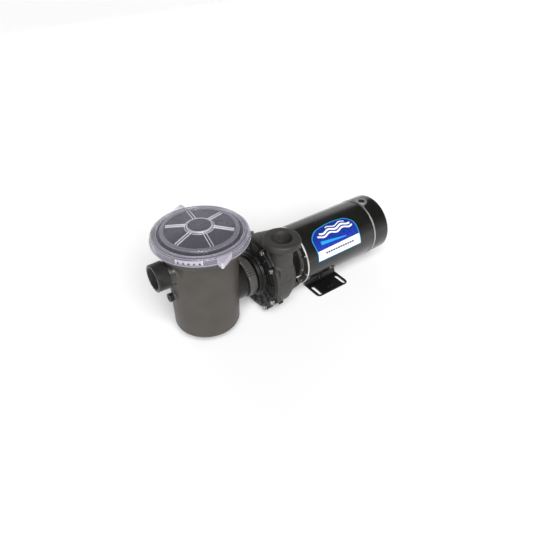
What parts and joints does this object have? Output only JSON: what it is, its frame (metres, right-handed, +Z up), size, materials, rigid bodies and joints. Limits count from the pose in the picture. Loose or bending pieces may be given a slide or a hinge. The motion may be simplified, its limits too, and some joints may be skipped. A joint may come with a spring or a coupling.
{
  "type": "pool pump",
  "caption": "Above-ground swimming pool pump: strainer pot with clear locking lid, union, plastic volute with side discharge and a cylindrical electric motor on a slotted base.",
  "frame": {"origin": "centre of the bounding box in plan, on the plane of the motor base's underside", "axes": "+X along the shaft from the strainer to the back of the motor, +Z up, discharge on the -Y side"},
  "size_m": [0.6058, 0.2336, 0.2669],
  "materials": {
    "pot_plastic": "satin moulded, warm dark grey",
    "casing_plastic": "satin moulded, charcoal",
    "black_plastic": "satin moulded, black",
    "basket_plastic": "moulded, dark grey",
    "white_plastic": "moulded, off-white",
    "clear_plastic": "polished clear polycarbonate with a faint violet tint",
    "rubber": "matt",
    "black_paint": "gloss black enamel",
    "cast_aluminium": "machined and as-cast",
    "steel": "plated and ground",
    "core_steel": "stacked laminations",
    "copper": "enamelled wire",
    "ceramic": "lapped ceramic",
    "label": null
  },
  "bodies": {
    "root": {"strainer_pot": "pot_plastic", "volute_casing": "casing_plastic", "union_tailpiece": "black_plastic", "volute_cover": "black_plastic", "switch_plate": "black_plastic", "capacitor": "black_plastic", "conduit_plug": "black_plastic", "wear_ring": "white_plastic", "union_o_ring": "rubber", "casing_o_ring": "rubber", "motor_shell": "black_paint", "end_cap": "black_paint", "motor_base": "black_paint", "front_end_bell": "cast_aluminium", "rear_end_bell": "cast_aluminium", "cover_bolt_1": "steel", "cover_bolt_2": "steel", "cover_bolt_3": "steel", "cover_bolt_4": "steel", "cover_bolt_5": "steel", "cover_bolt_6": "steel", "cover_bolt_7": "steel", "cover_bolt_8": "steel", "front_bearing_outer": "steel", "rear_bearing_outer": "steel", "through_bolt_1": "steel", "through_bolt_2": "steel", "through_bolt_3": "steel", "through_bolt_4": "steel", "bracket_screw_1": "steel", "bracket_screw_2": "steel", "bracket_screw_3": "steel", "bracket_screw_4": "steel", "capacitor_strap": "steel", "stator_core": "core_steel", "front_winding": "copper", "rear_winding": "copper", "seal_seat": "ceramic", "label": "label"},
    "lid_assembly": {"lid": "clear_plastic", "lid_o_ring": "rubber"},
    "lock_ring": {"lock_ring": "clear_plastic"},
    "basket": {"strainer_basket": "basket_plastic"},
    "basket_handle": {"basket_handle": "basket_plastic"},
    "pot_plug_seal": {"pot_plug_o_ring": "rubber"},
    "pot_plug": {"pot_plug": "black_plastic"},
    "volute_drain_seal": {"volute_drain_o_ring": "rubber"},
    "volute_drain_plug": {"volute_drain_plug": "black_plastic"},
    "union_nut": {"union_nut": "black_plastic"},
    "rotor": {"motor_shaft": "steel", "impeller": "white_plastic", "seal_rotary": "rubber", "rotor_core": "core_steel", "front_bearing_inner": "steel", "rear_bearing_inner": "steel", "shaft_slinger": "rubber"},
    "governor": {"governor": "black_plastic"},
    "front_balls": {"front_bearing_balls": "steel"},
    "rear_balls": {"rear_bearing_balls": "steel"}
  },
  "joints": [
    {"name": "lid_lift", "type": "slide", "parent": "root", "child": "lid_assembly", "axis": [0, 0, 1], "range_m": [0, 0.3]},
    {"name": "lock_ring_turn", "type": "hinge", "parent": "lid_assembly", "child": "lock_ring", "pos_m": [-0.1893, 0, 0.245], "axis": [0, 0, 1], "range_deg": [0, 45]},
    {"name": "basket_lift", "type": "slide", "parent": "root", "child": "basket", "axis": [0, 0, 1], "range_m": [0, 0.211]},
    {"name": "basket_handle_swing", "type": "hinge", "parent": "basket", "child": "basket_handle", "pos_m": [-0.1893, 0, 0.2296], "axis": [0, -1, 0], "range_deg": [0, 90.5]},
    {"name": "pot_plug_travel", "type": "slide", "parent": "root", "child": "pot_plug_seal", "axis": [-1, 0, 0], "range_m": [0, 0.0075]},
    {"name": "pot_plug_turn", "type": "hinge", "parent": "pot_plug_seal", "child": "pot_plug", "pos_m": [-0.27, 0, 0.118], "axis": [-1, 0, 0], "range_deg": [0, 1081]},
    {"name": "volute_drain_travel", "type": "slide", "parent": "root", "child": "volute_drain_seal", "axis": [0, -0.6157, -0.788], "range_m": [0, 0.0075]},
    {"name": "volute_drain_turn", "type": "hinge", "parent": "volute_drain_seal", "child": "volute_drain_plug", "pos_m": [-0.025, -0.05418, 0.01955], "axis": [0, -0.6157, -0.788], "range_deg": [0, 1081]},
    {"name": "union_nut_turn", "type": "hinge", "parent": "root", "child": "union_nut", "pos_m": [-0.0924, 0, 0.0889], "axis": [1, 0, 0], "range_deg": [0, 360]},
    {"name": "rotor_spin", "type": "hinge", "parent": "root", "child": "rotor", "pos_m": [0.145, 0, 0.0889], "axis": [1, 0, 0], "continuous": true},
    {"name": "governor_slide", "type": "slide", "parent": "rotor", "child": "governor", "axis": [-1, 0, 0], "range_m": [0, 0.003], "stiffness_N_per_m": 1500},
    {"name": "front_balls_roll", "type": "hinge", "parent": "root", "child": "front_balls", "pos_m": [0.0488, 0, 0.0889], "axis": [1, 0, 0], "continuous": true},
    {"name": "rear_balls_roll", "type": "hinge", "parent": "root", "child": "rear_balls", "pos_m": [0.2692, 0, 0.0889], "axis": [1, 0, 0], "continuous": true}
  ],
  "couplings": [
    {"joint": "basket_lift", "follows": "lid_lift", "ratio": 0.7},
    {"joint": "basket_handle_swing", "follows": "lid_lift", "rad_per_m": 5.235},
    {"joint": "pot_plug_turn", "follows": "pot_plug_travel", "rad_per_m": 2513.3},
    {"joint": "volute_drain_turn", "follows": "volute_drain_travel", "rad_per_m": 2513.3},
    {"joint": "front_balls_roll", "follows": "rotor_spin", "ratio": 0.38},
    {"joint": "rear_balls_roll", "follows": "rotor_spin", "ratio": 0.38}
  ]
}
